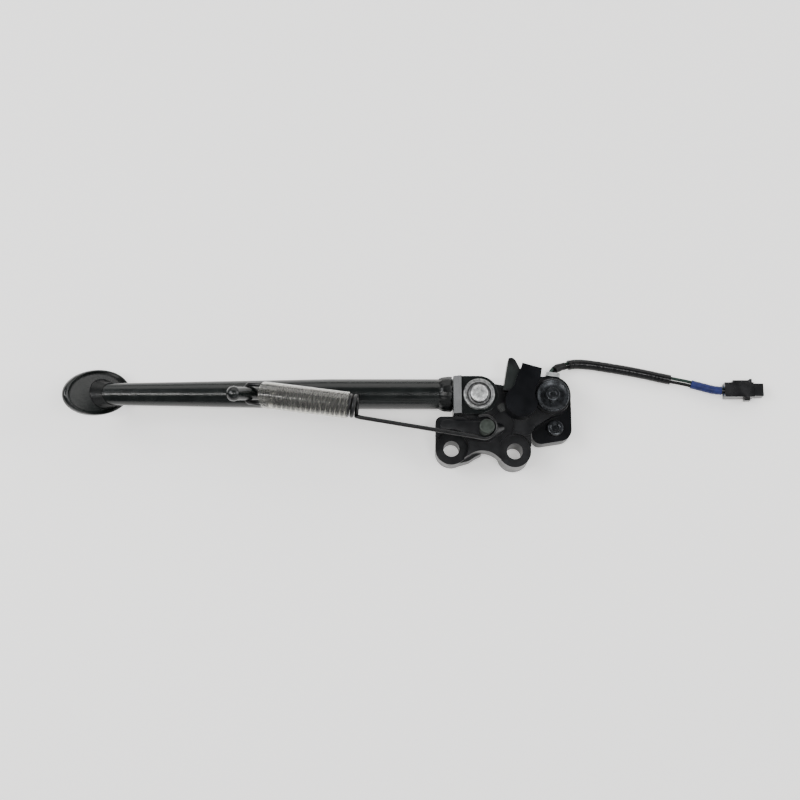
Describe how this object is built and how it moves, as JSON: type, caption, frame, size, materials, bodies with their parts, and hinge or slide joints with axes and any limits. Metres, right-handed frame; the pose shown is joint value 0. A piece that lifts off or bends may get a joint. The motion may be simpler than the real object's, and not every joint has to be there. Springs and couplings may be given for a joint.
{
  "type": "motorcycle side stand",
  "caption": "Motorcycle side stand: tubular leg with a dished foot, pivoting on a forged bracket with an over-centre return spring in a clear sleeve and a stand switch with its lead.",
  "frame": {"origin": "on the bracket's frame face, midway between the two frame bolts", "axes": "+X from the foot towards the switch, +Y towards the pivot, +Z from the frame outwards along the frame bolts"},
  "size_m": [0.4621, 0.0772, 0.0497],
  "materials": {
    "satin_black_steel": "satin black paint on steel",
    "weld_black": "painted weld bead",
    "cast_black": "satin black paint on a forged bracket",
    "dark_zinc": "dark plated steel",
    "bright_zinc": "worn zinc plate",
    "zinc": "zinc plate",
    "bronze": "sintered bronze",
    "seal_rubber": "matte",
    "switch_plastic": "moulded plastic",
    "plunger_nylon": "natural nylon",
    "contact_brass": "stamped",
    "black_oxide": "black oxide screw",
    "clip_steel": "bright strip",
    "spring_black": "black phosphated spring wire",
    "spring_steel": "spring wire",
    "clear_vinyl": "clear flexible vinyl",
    "wire_black": "wire insulation",
    "wire_green": "wire insulation",
    "sleeve_black": "vinyl sleeve",
    "tape_blue": "vinyl tape",
    "connector_black": "moulded nylon",
    "seal_blue": "silicone"
  },
  "bodies": {
    "bracket": {"bracket": "cast_black", "spring_pin": "dark_zinc", "pivot_bolt": "bright_zinc", "pivot_nut": "zinc", "pivot_washer": "zinc", "pivot_bush": "bronze", "pivot_seals": "seal_rubber", "switch_housing": "switch_plastic", "switch_cover": "switch_plastic", "switch_contacts": "contact_brass", "plunger_boot": "seal_rubber", "switch_guard": "switch_plastic", "dished_washer": "black_oxide", "boss_screw": "black_oxide", "housing_screw": "black_oxide", "lead_clip": "clip_steel", "lead_grommet": "seal_rubber", "plunger_spring": "spring_steel", "lead_wire_black": "wire_black", "lead_wire_green": "wire_green", "lead_boot": "seal_rubber", "lead_sleeve": "sleeve_black", "lead_tape": "tape_blue", "connector_housing": "connector_black", "connector_retainer": "connector_black", "connector_seals": "seal_blue", "connector_terminals": "contact_brass", "connector_lock": "connector_black"},
    "leg": {"leg_tube": "satin_black_steel", "clevis": "satin_black_steel", "clevis_weld": "weld_black", "foot_plate": "satin_black_steel", "foot_weld": "weld_black", "spring_post": "satin_black_steel"},
    "spring": {"return_spring": "spring_black"},
    "sleeve": {"spring_sleeve": "clear_vinyl"},
    "plunger": {"switch_plunger": "plunger_nylon", "contact_bridge": "contact_brass"}
  },
  "joints": [
    {"name": "leg_swing", "type": "hinge", "parent": "bracket", "child": "leg", "pos_m": [-0.003, 0.0343, 0.019], "axis": [0, 0, 1], "range_deg": [-100, 0]},
    {"name": "spring_swing", "type": "hinge", "parent": "bracket", "child": "spring", "pos_m": [0.0012, 0.0107, 0.039], "axis": [0, 0, 1], "range_deg": [-89, 0]},
    {"name": "sleeve_slide", "type": "slide", "parent": "spring", "child": "sleeve", "axis": [-0.9885, 0.1513, 0], "range_m": [0, 0.0172], "deforming": ["return_spring"]},
    {"name": "plunger_slide", "type": "slide", "parent": "bracket", "child": "plunger", "axis": [1, 0, 0], "range_m": [0, 0.0031], "deforming": ["plunger_spring"]}
  ],
  "couplings": [
    {"joint": "spring_swing", "follows": "leg_swing", "ratio": 0.8848},
    {"joint": "sleeve_slide", "follows": "leg_swing", "m_per_rad": -0.009591},
    {"joint": "plunger_slide", "follows": "leg_swing", "m_per_rad": -0.0017189}
  ]
}
